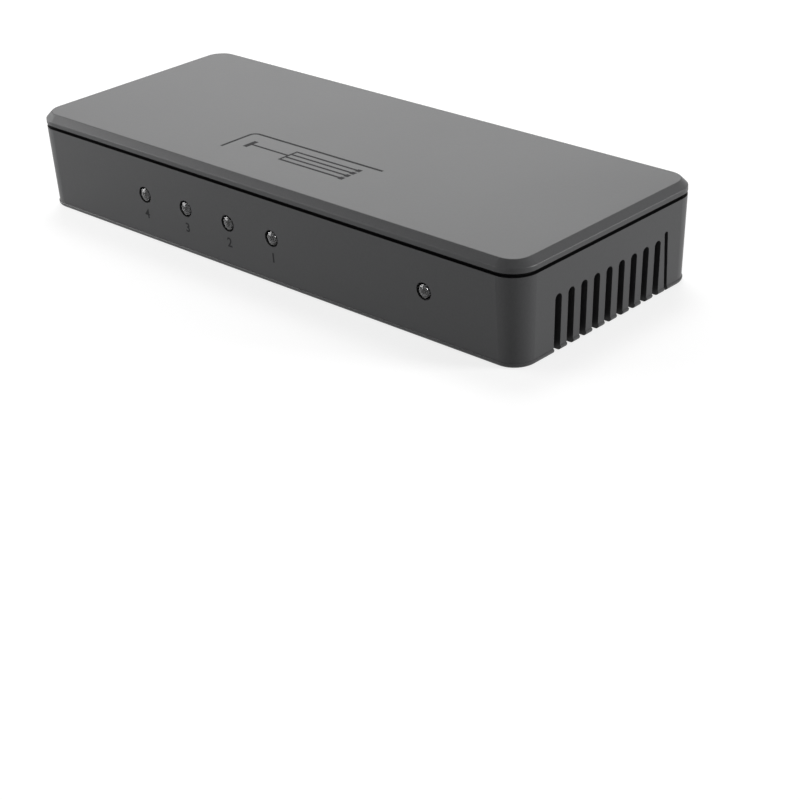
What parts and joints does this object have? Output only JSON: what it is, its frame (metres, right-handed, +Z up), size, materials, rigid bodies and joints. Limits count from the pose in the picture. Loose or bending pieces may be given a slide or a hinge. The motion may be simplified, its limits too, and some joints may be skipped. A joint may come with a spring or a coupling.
{
  "type": "hdmi splitter",
  "caption": "Flat dark plastic box that copies one video input to several outputs: sockets and power inlet behind, lamps in front, vent slots at both ends.",
  "frame": {"origin": "centre of the underside of the box, on the surface it rests on", "axes": "+X along the length, to the right when facing the lamps; +Y towards the sockets at the rear; +Z up"},
  "size_m": [0.14, 0.0564, 0.022],
  "materials": {
    "case_plastic": "dark charcoal moulded plastic, fine even texture, half sheen",
    "board_laminate": "glass fibre board under black solder mask",
    "shell_steel": "bright nickel plated sheet steel",
    "connector_plastic": "black glass filled plastic",
    "contact_gold": "gold flashed copper alloy",
    "jack_metal": "nickel plated brass",
    "lens_resin": "clear to smoke resin, unlit",
    "lead_tin": "tin plated",
    "chip_resin": "black moulding resin",
    "pad_rubber": "soft grey heat conducting pad",
    "sink_aluminium": "black anodised",
    "ferrite": "dark grey ferrite",
    "winding_copper": "enamelled copper wire",
    "can_aluminium": "bare drawn aluminium",
    "base_plastic": "black",
    "fuse_resin": "dark green polymer",
    "crystal_steel": "nickel plated can",
    "resistor_ceramic": "black glaze",
    "capacitor_ceramic": "tan ceramic",
    "screw_steel": "zinc plated steel"
  },
  "bodies": {
    "root": {"bottom_case": "case_plastic", "top_cover": "case_plastic", "rear_panel": "case_plastic", "circuit_board": "board_laminate", "hdmi_shell_1": "shell_steel", "hdmi_shell_2": "shell_steel", "hdmi_shell_3": "shell_steel", "hdmi_shell_4": "shell_steel", "hdmi_shell_5": "shell_steel", "hdmi_core_1": "connector_plastic", "hdmi_core_2": "connector_plastic", "hdmi_core_3": "connector_plastic", "hdmi_core_4": "connector_plastic", "hdmi_core_5": "connector_plastic", "dc_jack_housing": "connector_plastic", "hdmi_contacts_1": "contact_gold", "hdmi_contacts_2": "contact_gold", "hdmi_contacts_3": "contact_gold", "hdmi_contacts_4": "contact_gold", "hdmi_contacts_5": "contact_gold", "dc_jack_pin": "jack_metal", "dc_jack_leaf": "jack_metal", "led_output_1": "lens_resin", "led_output_2": "lens_resin", "led_output_3": "lens_resin", "led_output_4": "lens_resin", "led_power": "lens_resin", "led_leads": "lead_tin", "splitter_chip_leads": "lead_tin", "control_chip_leads": "lead_tin", "memory_chip_leads": "lead_tin", "regulator_leads": "lead_tin", "regulator_tabs": "lead_tin", "splitter_chip": "chip_resin", "control_chip": "chip_resin", "memory_chips": "chip_resin", "regulators": "chip_resin", "protection_arrays": "chip_resin", "rectifier_diode": "chip_resin", "thermal_pad": "pad_rubber", "heat_sink": "sink_aluminium", "power_inductor": "ferrite", "inductor_winding": "winding_copper", "capacitor_cans": "can_aluminium", "capacitor_bases": "base_plastic", "resettable_fuse": "fuse_resin", "crystal": "crystal_steel", "chip_resistors": "resistor_ceramic", "chip_capacitors": "capacitor_ceramic", "board_screws": "screw_steel", "case_screws": "screw_steel"}
  },
  "joints": []
}
